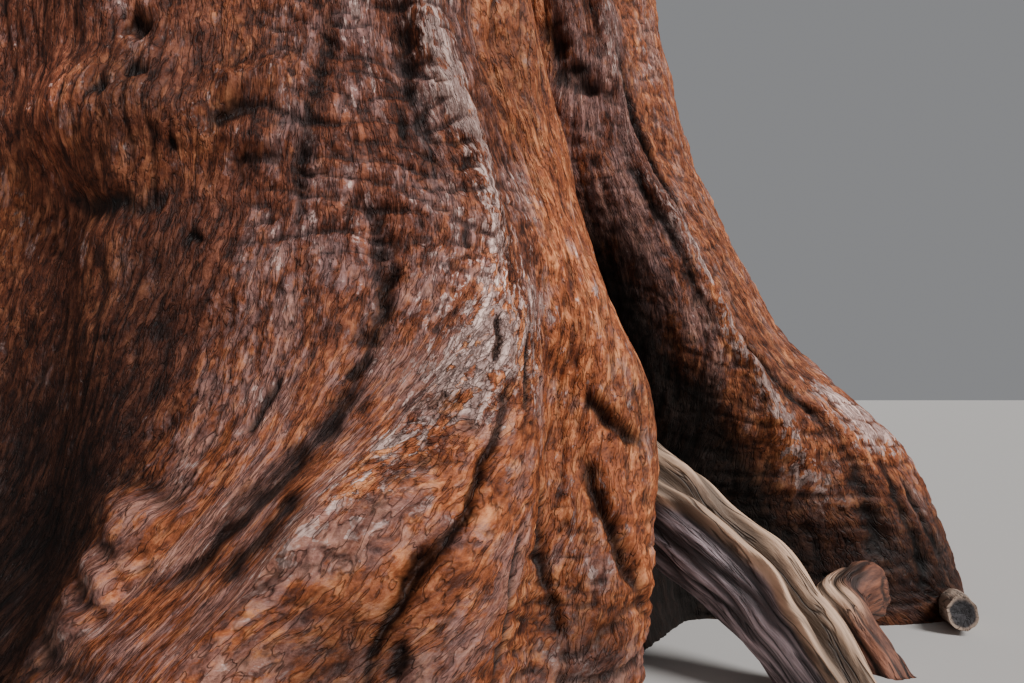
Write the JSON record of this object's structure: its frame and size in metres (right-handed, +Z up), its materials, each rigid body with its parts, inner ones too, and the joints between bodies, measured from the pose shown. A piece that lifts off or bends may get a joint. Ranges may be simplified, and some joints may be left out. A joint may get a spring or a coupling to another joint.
{
  "type": "giant sequoia tree",
  "caption": "Whole giant sequoia: buttressed, fluted trunk with a cave and a bare root at its foot, boughs and rounded clumps of foliage, cut flat at ground level.",
  "frame": {"origin": "on the ground, in the flat cut under the trunk, at the middle of the trunk's foot", "axes": "+Z up along the trunk; the picture looks along +Y, with +X to the right"},
  "size_m": [12.7115, 11.9412, 39.5812],
  "materials": {
    "bark": "fibrous, furrowed red-brown bark",
    "bare_wood": "weathered grey-tan bare wood",
    "needles": "matt green scale-like needles"
  },
  "bodies": {
    "root": {"trunk": "bark", "bare_root": "bare_wood", "knee_root": "bark", "cut_stub": "bare_wood", "bough_01": "bark", "bough_02": "bark", "bough_03": "bark", "bough_04": "bark", "bough_05": "bark", "bough_06": "bark", "bough_07": "bark", "bough_08": "bark", "bough_09": "bark", "bough_10": "bark", "bough_11": "bark", "bough_12": "bark", "bough_13": "bark", "bough_14": "bark", "bough_15": "bark", "bough_16": "bark", "bough_17": "bark", "bough_18": "bark", "bough_19": "bark", "bough_20": "bark", "bough_21": "bark", "bough_22": "bark", "bough_23": "bark", "foliage_01": "needles", "foliage_02": "needles", "foliage_03": "needles", "foliage_04": "needles", "foliage_05": "needles", "foliage_06": "needles", "foliage_07": "needles", "foliage_08": "needles", "foliage_09": "needles", "foliage_10": "needles", "foliage_11": "needles", "foliage_12": "needles", "foliage_13": "needles", "foliage_14": "needles", "foliage_15": "needles", "foliage_16": "needles", "foliage_17": "needles", "foliage_18": "needles", "foliage_19": "needles", "foliage_20": "needles", "foliage_21": "needles", "foliage_22": "needles", "foliage_23": "needles", "foliage_24": "needles", "foliage_25": "needles", "foliage_26": "needles", "foliage_27": "needles", "foliage_28": "needles"}
  },
  "joints": []
}
